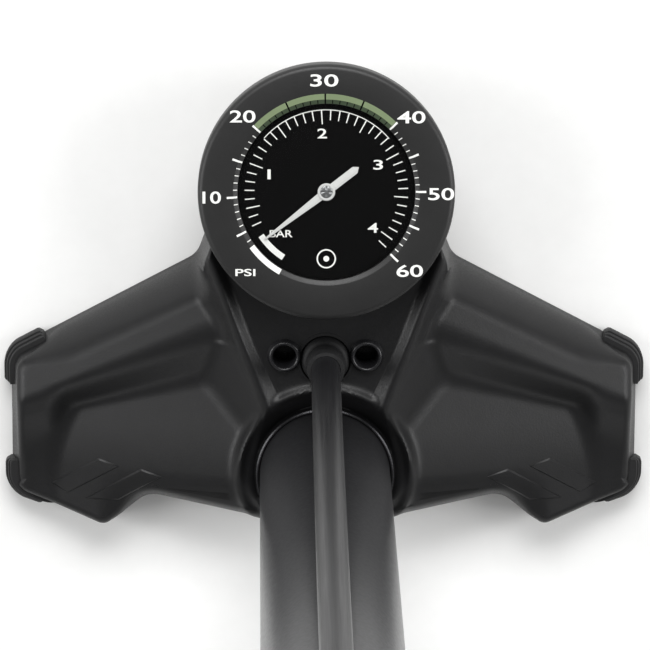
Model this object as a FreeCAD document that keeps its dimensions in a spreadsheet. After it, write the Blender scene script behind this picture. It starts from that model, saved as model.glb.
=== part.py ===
import FreeCAD, Part
import math
import os
import re

import Sketcher
from FreeCAD import Placement, Rotation, Vector

# A floor-standing bicycle pump: a moulded two-wing base that carries a big
# round pressure gauge, a barrel with piston, rod and cross handle, and a rubber
# hose that runs up the barrel, over a hook and down to a docked pump head.
#
# Every piece is modelled about the barrel's axis, with the floor at height 0.
# The whole pump then stands back by barrel_y, so that the origin is the middle
# of its box on the floor. +Y is the gauge's side and -Y the rider's side.

SIZES = [
    ("barrel_y", -46.5, "barrel axis, from the middle of the pump's box"),
    ("barrel_rad", 25, "barrel outer radius"),
    ("barrel_bore", 23.5, "barrel inner radius"),
    ("barrel_low", 24, "barrel's lower end"),
    ("barrel_top", 600, "barrel's upper end"),
    ("fit", 0.05, "radial running fit"),
    ("socket_floor", 22, "floor of the barrel's socket in the base"),
    ("ring_low", 34, "underside of the collar ring"),
    ("ring_top", 38, "top of the collar ring"),
    ("ring_rad", 26.7, "collar ring's outer radius"),
    ("cap_rad", 31, "top cap's outer radius"),
    ("cap_low", 574, "top cap's skirt end"),
    ("cap_top", 622, "top cap's upper face"),
    ("bush_rad", 10, "rod bush's outer radius"),
    ("rod_rad", 6, "piston rod's outer radius"),
    ("rod_bore", 4.8, "piston rod's inner radius"),
    ("rod_top", 652, "piston rod's upper end"),
    ("bolt_rad", 3, "piston bolt's shank radius"),
    ("piston_low", 32, "piston's lower face with the handle down"),
    ("piston_rad", 22.8, "piston's outer radius"),
    ("groove_rad", 19, "piston seal groove's radius"),
    ("seal_rad", 23.45, "piston seal's outer radius"),
    ("hub_low", 628, "underside of the handle's hub"),
    ("hub_rad", 17, "handle hub's radius"),
    ("handle_level", 657, "height of the handle's cross bar"),
    ("bar_rad", 9, "handle cross bar's radius"),
    ("grip_rad", 15.5, "grip's radius"),
    ("grip_start", 19, "grip's inner end, from the middle"),
    ("grip_end", 113, "grip's outer end, from the middle"),
    ("base_low", 1.5, "lower edge of the base's walls"),
    ("wing_edge", 17, "height of the wings' outer edges"),
    ("panel_top", 41, "height of the middle panel"),
    ("wall", 3, "moulded wall thickness"),
    ("rim_rad", 34, "radius of the rim round the barrel's funnel"),
    ("bumper_thick", 2.6, "corner bumper's thickness"),
    ("bumper_low", 1.5, "corner bumper's lower edge"),
    ("bumper_top", 10.5, "corner bumper's upper edge"),
    ("pad_rad", 7, "floor pad's radius"),
    ("pad_high", 3.5, "floor pad's height"),
    ("gauge_y", 116, "gauge face's centre, from the barrel axis"),
    ("gauge_level", 55, "gauge face's centre height"),
    ("gauge_tilt", 7.5, "gauge face's lean away from the rider"),
    ("gauge_rad", 48.3, "gauge bezel's outer radius"),
    ("bezel_deep", 12, "bezel's skirt, below its face"),
    ("housing_rad", 47, "gauge housing's outer radius"),
    ("housing_bore", 44.5, "gauge housing's inner radius"),
    ("housing_deep", 18, "gauge housing's lower face, below the bezel's face"),
    ("dial_rad", 33.35, "dial's radius"),
    ("pointer_reach", 29.4, "pointer tip, from the gauge's centre"),
    ("arbor_rad", 1.2, "pointer arbor's radius"),
    ("sector_rad", 16, "sector gear's radius"),
    ("sector_pivot", 18, "sector gear's pivot, from the gauge's centre"),
    ("port_y", 46.8, "hose port, from the barrel axis"),
    ("port_rad", 9.6, "hose port's radius in the panel"),
    ("boot_rad", 9.3, "hose boot's flange radius"),
    ("hose_rad", 5.5, "hose's outer radius"),
    ("hose_start", 39, "hose's lower end"),
    ("store_x", 15.6, "accessory socket, from the middle"),
    ("store_y", 48.8, "accessory socket, from the barrel axis"),
    ("store_rad", 4.4, "accessory socket's bore radius"),
    ("store_rim", 6, "accessory socket's rim radius"),
    ("store_top", 43.5, "accessory socket's rim height"),
    ("store_deep", 21.5, "accessory socket's depth"),
    ("valve_level", 17, "check valve's axis height"),
    ("valve_y", 33, "check valve's inlet face, from the barrel axis"),
    ("ball_rad", 3, "check valve ball's radius"),
    ("dock_low", 385, "dock clamp's lower face"),
    ("dock_high", 17, "dock clamp's height"),
    ("head_level", 370, "height of the pump head's valve bore"),
    ("neck_rad", 8, "pump head's neck radius"),
    ("head_y", -62, "pump head's neck axis, from the barrel axis"),
    ("head_rad", 11, "pump head's body radius"),
    ("neck_top", 404, "top of the pump head's neck"),
    ("valve_hole", 4.3, "pump head's valve bore radius"),
]

# Corners of the base's outline at the right, from the middle of the rider's
# side round to the gauge: across, along and the corner's rounding.
OUTLINE_RIGHT = [
    (67.6, -13.6, 9),
    (85.2, -27.2, 5),
    (121.3, -13.8, 9),
    (121.3, 40.8, 8),
    (49.2, 79.1, 8),
    (42.0, 98.5, 12),
    (42.0, 152.0, 41.5),
]
OUTLINE_MIDDLE = (0.0, -27.9, 60)

# The hose's route about the barrel's axis: up the gauge side, out round the
# side of the cap and down the rider's side to the pump head's neck.
HOSE_ROUTE = [
    (0, 46.8, 39),
    (-1.5, 46.8, 400),
    (0, 46.8, 485),
    (14, 46.8, 527),
    (33.5, 46.8, 553),
    (48.7, 32.2, 573),
    (57.4, 7, 584.5),
    (57.4, -22.2, 584.5),
    (48.7, -47.4, 573),
    (33.5, -62, 553),
    (14, -62, 527),
    (1, -62, 486),
    (0, -62, 444),
    (0, -62, 404),
]

doc = FreeCAD.newDocument("floor_pump")
sheet = doc.addObject("Spreadsheet::Sheet", "sheet")
for row, (alias, number, note) in enumerate(SIZES, start=1):
    sheet.set("A%d" % row, note)
    sheet.set("B%d" % row, str(number))
    sheet.setAlias("B%d" % row, alias)
doc.recompute()

pieces = []


def size(alias):
    """A driving dimension, read from the sheet."""
    return float(getattr(sheet, alias))


def on_sheet(text):
    """An expression whose words are the sheet's aliases."""
    return re.sub(r"[a-z_]+", lambda word: "sheet." + word.group(), text)


def worked_out(text):
    """The value of such an expression."""
    return float(sheet.evalExpression(on_sheet(text)))


def stand():
    """The placement of everything that is modelled about the barrel's axis."""
    return Placement(Vector(0, size("barrel_y"), 0), Rotation())


def gauge_place():
    """The gauge's own frame: its face is at height 0 and looks along +Z."""
    centre = Vector(0, size("barrel_y") + size("gauge_y"), size("gauge_level"))
    return Placement(centre, Rotation(Vector(1, 0, 0), -size("gauge_tilt")))


def gauge_from_barrel():
    """The gauge's frame seen from the barrel's axis."""
    return stand().inverse() * gauge_place()


def hold(sketch, index, kind, text):
    """Hold one coordinate of a line's start to an expression."""
    number = worked_out(text)
    if abs(number) < 1e-9:
        axis = -2 if kind == "DistanceX" else -1
        sketch.addConstraint(Sketcher.Constraint("PointOnObject", index, 1, axis))
        return
    rule = Sketcher.Constraint(kind, -1, 1, index, 1, number)
    place = sketch.addConstraint(rule)
    sketch.setExpression("Constraints[%d]" % place, on_sheet(text))


def origin_feature(body, role):
    """One of the body's own origin planes or axes."""
    for feature in body.Origin.OriginFeatures:
        if feature.Role == role:
            return feature
    raise RuntimeError("no %s in %s" % (role, body.Label))


def profile(body, name, plane, corners):
    """A closed sketch whose corners are pairs of expressions."""
    sketch = body.newObject("Sketcher::SketchObject", name)
    sketch.AttachmentSupport = [(origin_feature(body, plane), "")]
    sketch.MapMode = "FlatFace"
    spots = [Vector(worked_out(a), worked_out(b), 0) for a, b in corners]
    count = len(spots)
    for i in range(count):
        sketch.addGeometry(Part.LineSegment(spots[i], spots[(i + 1) % count]), False)
    for i in range(count):
        sketch.addConstraint(Sketcher.Constraint("Coincident", i, 2, (i + 1) % count, 1))
    for i, (across, along) in enumerate(corners):
        hold(sketch, i, "DistanceX", across)
        hold(sketch, i, "DistanceY", along)
    return sketch


def turned(label, corners, place=None, axis="V_Axis"):
    """A body turned from a profile of (radius, height) expressions."""
    body = doc.addObject("PartDesign::Body", label)
    body.Label = label
    sketch = profile(body, label + "_profile", "XZ_Plane", corners)
    spin = body.newObject("PartDesign::Revolution", label + "_turn")
    spin.Profile = sketch
    spin.ReferenceAxis = (sketch, [axis])
    spin.Angle = 360
    body.Tip = spin
    if place is None:
        body.setExpression("Placement.Base.y", "sheet.barrel_y")
    else:
        body.Placement = place
    pieces.append(body)
    return body


def disc(label, inner, outer, low, high, place=None):
    """A turned ring, or a disc where inner is 0, with a square section."""
    corners = [(inner, low), (outer, low), (outer, high), (inner, high)]
    return turned(label, corners, place)


def made(label, shape, place=None):
    """A piece whose shape is worked out in code from the sheet's values."""
    piece = doc.addObject("Part::Feature", label)
    piece.Label = label
    piece.Shape = shape
    piece.Placement = stand() if place is None else place
    pieces.append(piece)
    return piece


def box(x0, x1, y0, y1, z0, z1):
    return Part.makeBox(x1 - x0, y1 - y0, z1 - z0, Vector(x0, y0, z0))


def post(radius, x, y, low, high):
    return Part.makeCylinder(radius, high - low, Vector(x, y, low), Vector(0, 0, 1))


def tube_y(radius, x, z, y0, y1):
    return Part.makeCylinder(radius, y1 - y0, Vector(x, y0, z), Vector(0, 1, 0))


def tube_x(radius, y, z, x0, x1):
    return Part.makeCylinder(radius, x1 - x0, Vector(x0, y, z), Vector(1, 0, 0))


def rounded_wire(corners):
    """A closed wire of straight sides joined by arcs: (x, y, rounding)."""
    count = len(corners)
    starts = []
    ends = []
    middles = []
    for i, (x, y, rounding) in enumerate(corners):
        here = Vector(x, y, 0)
        before = Vector(corners[i - 1][0], corners[i - 1][1], 0) - here
        after = Vector(corners[(i + 1) % count][0], corners[(i + 1) % count][1], 0) - here
        before.normalize()
        after.normalize()
        half = before.getAngle(after) / 2
        reach = rounding / math.tan(half)
        inward = before + after
        inward.normalize()
        starts.append(here + before * reach)
        ends.append(here + after * reach)
        middles.append(here + inward * (rounding / math.sin(half) - rounding))
    edges = []
    for i in range(count):
        edges.append(Part.Arc(starts[i], middles[i], ends[i]).toShape())
        edges.append(Part.LineSegment(ends[i], starts[(i + 1) % count]).toShape())
    return Part.Wire(edges)


def outline(offset=0.0):
    """The base's outline as a face, grown or shrunk by offset."""
    left = [(-x, y, rounding) for x, y, rounding in reversed(OUTLINE_RIGHT)]
    face = Part.Face(rounded_wire([OUTLINE_MIDDLE] + OUTLINE_RIGHT + left))
    if offset:
        face = face.makeOffset2D(offset)
    return face


def raised(face, low, high):
    """A face on the floor plane drawn up between two heights."""
    lifted = face.copy()
    lifted.translate(Vector(0, 0, low))
    return lifted.extrude(Vector(0, 0, high - low))


def facets(corners, faces):
    """A solid with flat faces, each a list of corner numbers."""
    sides = []
    for face in faces:
        ring = [corners[i] for i in face] + [corners[face[0]]]
        sides.append(Part.Face(Part.makePolygon(ring)))
    return Part.Solid(Part.Shell(sides))


def crest(side):
    """The raised back of one wing, over the foot pocket's front wall."""
    outer_y, inner_y = 28.5, 55.0
    front = size("wing_edge") + 1.5
    tops = {"outer": 26.0, "inner": 35.0}
    low = 10.0
    spots = [
        Vector(side * 118, 43.5, low),
        Vector(side * 30, 90.0, low),
        Vector(side * 30, inner_y + 6, low),
        Vector(side * 112, outer_y - 2, low),
        Vector(side * 118, 43.5, front),
        Vector(side * 30, 90.0, front + 10),
        Vector(side * 30, inner_y + 6, tops["inner"] + 3),
        Vector(side * 112, outer_y - 2, tops["outer"] - 3),
    ]
    faces = [
        [0, 1, 2, 3],
        [4, 5, 6],
        [4, 6, 7],
        [0, 1, 5, 4],
        [1, 2, 6, 5],
        [2, 3, 7, 6],
        [3, 0, 4, 7],
    ]
    return facets(spots, faces)


def rib(side):
    """One of the two ribs that run from the gauge to the funnel's rim."""
    near = Vector(side * 27.5, 28.0, 0)
    far = Vector(side * 45.0, 88.0, 0)
    along = (far - near).normalize()
    across = Vector(-along.y, along.x, 0) * 3.5
    ring = [near + across, far + across, far - across, near - across, near + across]
    face = Part.Face(Part.makePolygon(ring))
    return raised(face, 10, size("panel_top") + 3.5)


def middle_block():
    """The middle panel between the ribs."""
    ring = [(-28, 20), (28, 20), (47, 88), (-47, 88), (-28, 20)]
    face = Part.Face(Part.makePolygon([Vector(x, y, 0) for x, y in ring]))
    return raised(face, size("base_low"), size("panel_top"))


def pad_spots():
    """The floor pads' centres, about the barrel's axis."""
    return [(-106, -9), (106, -9), (-106, 30), (106, 30), (0, 138)]


def make_base_shell():
    low = size("base_low")
    wing = size("wing_edge")
    rim = size("rim_rad")
    panel = size("panel_top")
    solid = raised(outline(), low, wing)
    tray = raised(outline(-size("wall")), low, wing - 6)
    solid = solid.cut(tray)
    spread = 26
    skirt = Part.makeCone(rim + spread, rim, panel - wing + 6, Vector(0, 0, wing - 6))
    lumps = [skirt, crest(-1), crest(1), rib(-1), rib(1), middle_block()]
    lumps.append(post(rim, 0, 0, low, panel))
    nose_rad, nose_bore, nose_y = 41, 32, size("gauge_y") - 6
    nose = post(nose_rad, 0, nose_y, low, panel + 4)
    lumps.append(nose)
    for x, y in pad_spots():
        lumps.append(post(size("pad_rad") + 3, x, y, low, wing - 2))
    keep = raised(outline(), low, panel + 12)
    solid = solid.fuse(lumps).common(keep)

    housing = post(size("housing_rad"), 0, 0, -size("housing_deep"), 40)
    housing.Placement = gauge_from_barrel()
    cuts = [housing]
    barrel = post(size("barrel_rad") + size("fit"), 0, 0, size("socket_floor"), 80)
    cuts.append(barrel)
    ring_low = size("ring_low")
    cuts.append(Part.makeCone(29, rim - 1.5, panel - ring_low + 0.01, Vector(0, 0, ring_low)))
    cuts.append(post(size("port_rad"), 0, size("port_y"), panel - 8, 80))
    cuts.append(box(-16, 16, size("valve_y"), 64, 0, panel - 5))
    duct = 2.5
    cuts.append(tube_y(duct, 0, size("valve_level"), 0, size("valve_y") + 1))
    cuts.append(post(duct, 0, 0, size("valve_level"), size("socket_floor") + 1))
    cuts.append(post(nose_bore, 0, nose_y, 0, 24))
    for x, y in pad_spots():
        cuts.append(post(size("pad_rad"), x, y, 0, size("pad_high")))
    solid = solid.cut(cuts)

    bosses = []
    holes = []
    for side in (-1, 1):
        x, y = side * size("store_x"), size("store_y")
        top = size("store_top")
        bosses.append(post(size("store_rim"), x, y, panel - size("store_deep"), top))
        holes.append(post(size("store_rad"), x, y, top - size("store_deep"), top + 1))
    solid = solid.fuse(bosses).cut(holes)
    solid = solid.cut(post(size("port_rad"), 0, size("port_y"), panel - 8, 80))
    solid = solid.cut(manifold_blank())
    stem = post(5.1, 0, -36, -40, 0)
    stem.Placement = gauge_from_barrel()
    for tool in [stem] + gauge_screw_shapes() + screw_access_shapes():
        solid = solid.cut(tool)
    made("base_shell", solid)


def make_bumpers():
    """The rubber strip round each outer corner of the wings."""
    low, top = size("bumper_low"), size("bumper_top")
    strip = raised(outline(size("bumper_thick")), low, top).cut(raised(outline(), low, top))
    far = 140
    spans = {"front": (108, 28.2, 60), "rear": (109, -40, -1.7)}
    for side, side_name in ((-1, "left"), (1, "right")):
        for end, (reach, y0, y1) in spans.items():
            x0, x1 = sorted((side * reach, side * far))
            made("bumper_%s_%s" % (end, side_name), strip.common(box(x0, x1, y0, y1, low, top)))


def make_floor_pads():
    pads = [post(size("pad_rad"), x, y, 0, size("pad_high")) for x, y in pad_spots()]
    made("floor_pads", Part.Compound(pads))


def manifold_blank():
    return box(-9.5, 9.5, size("valve_y"), 62, 8, size("panel_top") - 7)


def make_manifold():
    """The air block under the panel: check valve, hose port and gauge line."""
    level = size("valve_level")
    start = size("valve_y")
    block = manifold_blank()
    block = block.cut(tube_y(4.5, 0, level, start, start + 13))
    block = block.cut(post(7, 0, size("port_y"), size("hose_start") - 16, 42))
    block = block.cut(post(2, 0, size("port_y"), level, 42))
    block = block.cut(tube_y(1.8, 0, level, start, 63))
    made("air_manifold", block)


def make_check_valve():
    level = size("valve_level")
    start = size("valve_y")
    seat = tube_y(4.5, 0, level, start, start + 2).cut(tube_y(2, 0, level, start, start + 2))
    made("check_seat", seat)
    ball_y = start + 2 + math.sqrt(size("ball_rad") ** 2 - 4) + size("fit")
    made("check_ball", Part.makeSphere(size("ball_rad"), Vector(0, ball_y, level)))
    coil = tube_y(3.6, 0, level, start + 10.4, start + 13)
    made("check_spring", coil.cut(tube_y(2.6, 0, level, start + 10.4, start + 13)))


def make_barrel():
    disc("barrel", "barrel_bore", "barrel_rad", "barrel_low", "barrel_top")
    disc("barrel_foot_seal", "barrel_bore-1.5", "barrel_rad-0.2", "socket_floor", "barrel_low")
    disc("collar_ring", "barrel_rad+0.1", "ring_rad", "ring_low", "ring_top")


def make_top_cap():
    inner = "barrel_rad+fit"
    corners = [
        (inner, "cap_low"),
        ("cap_rad", "cap_low"),
        ("cap_rad", "cap_top-9"),
        ("cap_rad-6", "cap_top"),
        ("bush_rad", "cap_top"),
        ("bush_rad", "barrel_top"),
        (inner, "barrel_top"),
    ]
    turned("top_cap", corners)
    bore = "rod_rad+fit"
    corners = [
        (bore, "barrel_top-4"),
        ("bush_rad+4", "barrel_top-4"),
        ("bush_rad+4", "barrel_top"),
        ("bush_rad", "barrel_top"),
        ("bush_rad", "cap_top"),
        (bore, "cap_top"),
    ]
    turned("rod_bush", corners)
    disc("rod_wiper", bore, "bush_rad-1", "cap_top", "cap_top+2")


def make_piston():
    corners = [
        ("bolt_rad", "piston_low"),
        ("piston_rad", "piston_low"),
        ("piston_rad", "piston_low+4"),
        ("groove_rad", "piston_low+4"),
        ("groove_rad", "piston_low+9"),
        ("piston_rad", "piston_low+9"),
        ("piston_rad", "piston_low+14"),
        ("rod_rad+3", "piston_low+14"),
        ("rod_rad+3", "piston_low+24"),
        ("rod_rad", "piston_low+24"),
        ("rod_rad", "piston_low+16"),
        ("bolt_rad", "piston_low+16"),
    ]
    turned("piston", corners)
    disc("piston_seal", "groove_rad", "seal_rad", "piston_low+4", "piston_low+9")
    disc("piston_washer", "bolt_rad", "groove_rad-5", "piston_low-1.5", "piston_low")
    corners = [
        ("0", "piston_low-6"),
        ("bolt_rad*2", "piston_low-6"),
        ("bolt_rad*2", "piston_low-1.5"),
        ("bolt_rad", "piston_low-1.5"),
        ("bolt_rad", "piston_low+34"),
        ("0", "piston_low+34"),
    ]
    turned("piston_bolt", corners)
    corners = [
        ("bolt_rad", "piston_low+16"),
        ("rod_rad", "piston_low+16"),
        ("rod_rad", "rod_top"),
        ("rod_bore", "rod_top"),
        ("rod_bore", "piston_low+36"),
        ("bolt_rad", "piston_low+36"),
    ]
    turned("piston_rod", corners)
    disc("buffer_ring", "rod_rad+0.1", "rod_rad+6", "hub_low-3", "hub_low")


def make_handle():
    low = size("hub_low")
    level = size("handle_level")
    end = size("grip_end")
    hub = post(size("hub_rad"), 0, 0, low, level + 15)
    core = hub.fuse(tube_x(size("bar_rad"), 0, level, -end, end))
    core = core.cut(post(size("rod_rad"), 0, 0, low - 1, size("rod_top")))
    core = core.cut(post(3.2, 0, 0, low, level + 16))
    core = core.cut(post(6.2, 0, 0, level + 11, level + 16))
    made("handle_core", core.removeSplitter())
    for side, name in ((-1, "left"), (1, "right")):
        start = "%d*grip_start" % side
        stop = "%d*grip_end" % side
        bulge = "%d*(grip_start+grip_end)/2" % side
        waist = "%d*(grip_start+14)" % side
        tail = "%d*(grip_end-8)" % side
        corners = [
            (start, "bar_rad"),
            (start, "grip_rad-0.5"),
            (waist, "grip_rad-2.5"),
            (bulge, "grip_rad"),
            (tail, "grip_rad-2"),
            (stop, "grip_rad-0.5"),
            (stop, "bar_rad"),
        ]
        grip = turned("grip_" + name, corners, None, "H_Axis")
        grip.setExpression("Placement.Base.z", "sheet.handle_level")
        cap = tube_x(size("grip_rad") - 1, 0, level, end, end + 3.5)
        if side < 0:
            cap = tube_x(size("grip_rad") - 1, 0, level, -end - 3.5, -end)
        made("grip_cap_" + name, cap)
    screw = post(3.1, 0, 0, size("rod_top") - 14, level + 11)
    screw = screw.fuse(post(5.9, 0, 0, level + 11, level + 14.5)).removeSplitter()
    made("handle_screw", screw)


def gauge_screw_spots():
    """The gauge screws' places in the gauge's frame."""
    spots = []
    for angle in (35, 145, 235, 305):
        turn = math.radians(angle)
        spots.append((30 * math.cos(turn), 30 * math.sin(turn)))
    return spots


def gauge_screw_shapes():
    """The screws that hold the gauge housing from below."""
    screws = []
    deep = -size("housing_deep")
    for x, y in gauge_screw_spots():
        shape = post(1.6, x, y, deep - 7, deep + 1.5)
        shape = shape.fuse(post(3, x, y, deep - 9, deep - 7))
        shape.Placement = gauge_from_barrel()
        screws.append(shape)
    return screws


def screw_access_shapes():
    """The wells under the gauge screws' heads."""
    wells = []
    deep = -size("housing_deep")
    for x, y in gauge_screw_spots():
        shape = post(3.4, x, y, deep - 20, deep - 9)
        shape.Placement = gauge_from_barrel()
        wells.append(shape)
    return wells


def make_gauge():
    place = gauge_place()
    deep = -size("housing_deep")
    bore = size("housing_bore")
    cup = post(size("housing_rad"), 0, 0, deep, -5).cut(post(bore, 0, 0, deep + 2.5, 0))
    cup = cup.cut(post(5, 0, -36, deep - 1, deep + 3))
    for x, y in gauge_screw_spots():
        cup = cup.cut(post(1.6, x, y, deep - 1, deep + 1.5))
    made("gauge_housing", cup, place)

    skirt = -size("bezel_deep")
    face = post(size("gauge_rad"), 0, 0, skirt, 0)
    rounded = [edge for edge in face.Edges if edge.BoundBox.ZMin > -0.1 and len(edge.Vertexes) == 1]
    face = face.makeFillet(2.2, rounded[:1])
    bezel = face.cut(post(size("dial_rad"), 0, 0, skirt - 1, 1))
    bezel = bezel.cut(post(size("housing_rad") + size("fit"), 0, 0, skirt - 1, -5))
    cone = Part.makeCone(size("dial_rad"), size("dial_rad") + 1.65, 1.0, Vector(0, 0, -1))
    made("gauge_bezel", bezel.cut(cone), place)

    disc("gauge_lens", "0", "dial_rad-0.02", "-1.6", "-1", place)
    disc("gauge_dial", "arbor_rad+0.4", "dial_rad-0.02", "-4.1", "-3.3", place)
    frame = post(size("dial_rad") - 0.05, 0, 0, -5.5, -4.1)
    for angle in (30, 150, 330):
        x = 26 * math.cos(math.radians(angle))
        y = 26 * math.sin(math.radians(angle))
        frame = frame.fuse(post(2, x, y, deep + 2.5, -5.5))
    frame = frame.cut(post(size("arbor_rad") + 0.4, 0, 0, deep, 0))
    made("movement_frame", frame.removeSplitter(), place)


def make_gauge_movement():
    place = gauge_place()
    deep = -size("housing_deep")
    arbor = size("arbor_rad")
    angle = math.radians(217.7)
    along = Vector(math.cos(angle), math.sin(angle), 0)
    across = Vector(-along.y, along.x, 0)
    reach = size("pointer_reach")
    ring = [
        along * reach + across * 0.5,
        along * 3 + across * 1.55,
        along * -14 + across * 1.4,
        along * -15.4,
        along * -14 - across * 1.4,
        along * 3 - across * 1.55,
        along * reach - across * 0.5,
    ]
    low = Vector(0, 0, -2.9)
    face = Part.Face(Part.makePolygon([spot + low for spot in ring + ring[:1]]))
    needle = face.extrude(Vector(0, 0, 0.6)).fuse(post(3.3, 0, 0, -2.9, -2.3))
    needle = needle.cut(post(arbor, 0, 0, -3, -2))
    made("gauge_pointer", needle.removeSplitter(), place)
    disc("pointer_hub", "0", "arbor_rad+2.1", "-2.3", "-1.95", place)
    disc("pinion_arbor", "0", "arbor_rad", "-14", "-2.3", place)

    pivot = size("sector_pivot")
    reach = size("sector_rad")
    wedge = Part.makeCylinder(reach, 1.6, Vector(0, -pivot, -11), Vector(0, 0, 1), 50)
    wedge.rotate(Vector(0, -pivot, 0), Vector(0, 0, 1), 52)
    hub = post(3, 0, -pivot, -11, -9.4)
    sector = wedge.fuse(hub).cut(post(1.05, 0, -pivot, -12, -9))
    made("sector_gear", sector.removeSplitter(), place)
    made("sector_pin", post(1, 0, -pivot, deep + 2.5, -5.5), place)

    ring = Part.makeTorus(38, 3.2, Vector(0, 0, -10.3), Vector(0, 0, 1), -180, 180, 250)
    ring.rotate(Vector(0, 0, 0), Vector(0, 0, 1), -80)
    made("bourdon_tube", ring, place)
    foot = box(-5, 6.5, -42, -31.5, deep + 2.5, -6.2).cut(ring)
    foot = foot.cut(box(-30, -0.0, -44, -30, -13.6, -6))
    stem = post(4.9, 0, -36, deep - 8, deep + 2.5)
    made("bourdon_foot", foot, place)
    made("gauge_stem", stem, place)
    made("gauge_screws", Part.Compound(gauge_screw_shapes()))


def route_radii(route):
    """The radius of the arc at each inner point of a route."""
    radii = []
    for before, here, after in zip(route, route[1:], route[2:]):
        run_in = here - before
        run_out = after - here
        half = run_in.getAngle(run_out) / 2
        radii.append(0.45 * min(run_in.Length, run_out.Length) / math.tan(half))
    return radii


def route_wire(route):
    """Straight runs joined by tangent arcs."""
    radii = route_radii(route)
    edges = []
    last = route[0]
    for i, radius in enumerate(radii, start=1):
        into = (route[i] - route[i - 1]).normalize()
        out = (route[i + 1] - route[i]).normalize()
        half = into.getAngle(out) / 2
        reach = radius * math.tan(half)
        start = route[i] - into * reach
        end = route[i] + out * reach
        inward = (out - into).normalize()
        middle = route[i] + inward * (radius / math.cos(half) - radius)
        edges.append(Part.LineSegment(last, start).toShape())
        edges.append(Part.Arc(start, middle, end).toShape())
        last = end
    edges.append(Part.LineSegment(last, route[-1]).toShape())
    return Part.Wire(edges)


def make_hose():
    route = [Vector(*spot) for spot in HOSE_ROUTE]
    wire = route_wire(route)
    start = (route[1] - route[0]).normalize()
    circle = Part.Wire(Part.Circle(route[0], start, size("hose_rad")).toShape())
    shape = wire.makePipeShell([circle], True, False)
    expected = math.pi * size("hose_rad") ** 2 * wire.Length
    print("hose length %.0f mm, volume ratio %.4f" % (wire.Length, shape.Volume / expected))
    print("hose radii", [round(radius) for radius in route_radii(route)])
    made("hose", shape)
    corners = [
        ("hose_rad+0.1", "hose_start-2"),
        ("boot_rad", "hose_start-2"),
        ("boot_rad", "panel_top+1.5"),
        ("boot_rad-1", "panel_top+3"),
        ("hose_rad+2.2", "panel_top+5"),
        ("hose_rad+1.6", "panel_top+14"),
        ("hose_rad+0.1", "panel_top+14"),
    ]
    boot = turned("hose_boot", corners)
    boot.setExpression("Placement.Base.y", "sheet.barrel_y + sheet.port_y")
    fitting = turned("hose_fitting", [
        ("2", "hose_start-16"),
        ("hose_rad+1.5", "hose_start-16"),
        ("hose_rad+1.5", "hose_start-2"),
        ("hose_rad", "hose_start-2"),
        ("hose_rad", "hose_start"),
        ("2", "hose_start"),
    ])
    fitting.setExpression("Placement.Base.y", "sheet.barrel_y + sheet.port_y")


def make_hose_hook():
    """The side hook on the cap that carries the hose's arch."""
    over_hook = [spot for spot in HOSE_ROUTE if spot[0] == max(p[0] for p in HOSE_ROUTE)]
    x, level = over_hook[0][0], over_hook[0][2]
    y = (over_hook[0][1] + over_hook[-1][1]) / 2
    half_wide, beyond = 6, 7
    jaw, root, arm_thick = 8, 34, 8
    arm = box(27, x + jaw, y - half_wide, y + half_wide, level - 10, level + 6)
    arm = arm.cut(box(root, x - jaw, y - beyond, y + beyond, level - 10 + arm_thick, level + 7))
    arm = arm.cut(tube_y(size("hose_rad") + 0.15, x, level, y - beyond, y + beyond))
    mouth = 4.6
    arm = arm.cut(box(x - mouth, x + mouth, y - beyond, y + beyond, level, level + 7))
    arm = arm.cut(post(size("cap_rad"), 0, 0, level - 12, level + 12))
    made("hose_hook", arm)


def make_dock():
    """The clamp on the barrel whose open clip grips the pump head's neck."""
    low = size("dock_low")
    high = low + size("dock_high")
    middle = (low + high) / 2
    neck_y = size("head_y")
    band, grip = 4, 3.2
    ear_half, slot_half, ear_end = 6, 1, 38
    screw_x, screw_rad, screw_head = 33, 2, 3.8
    mouth_half = 6.4
    clamp = post(size("barrel_rad") + band, 0, 0, low, high)
    clamp = clamp.fuse(box(22, ear_end, -ear_half, ear_half, low, high))
    clamp = clamp.fuse(box(-5, 5, neck_y + 9, 0, low, high))
    clamp = clamp.fuse(post(size("neck_rad") + grip, 0, neck_y, low, high))
    cuts = [
        post(size("barrel_rad") + 0.02, 0, 0, low - 1, high + 1),
        box(20, ear_end + 2, -slot_half, slot_half, low - 1, high + 1),
        post(size("neck_rad") + 0.05, 0, neck_y, low - 1, high + 1),
        box(-mouth_half, mouth_half, neck_y - 14, neck_y, low - 1, high + 1),
        tube_y(screw_rad, screw_x, middle, -ear_half - 1, ear_half + 1),
    ]
    made("dock_clamp", clamp.cut(cuts).removeSplitter())
    screw = tube_y(screw_rad, screw_x, middle, -ear_half, ear_half)
    screw = screw.fuse(tube_y(screw_head, screw_x, middle, ear_half, ear_half + 3))
    made("dock_screw", screw.removeSplitter())


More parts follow.
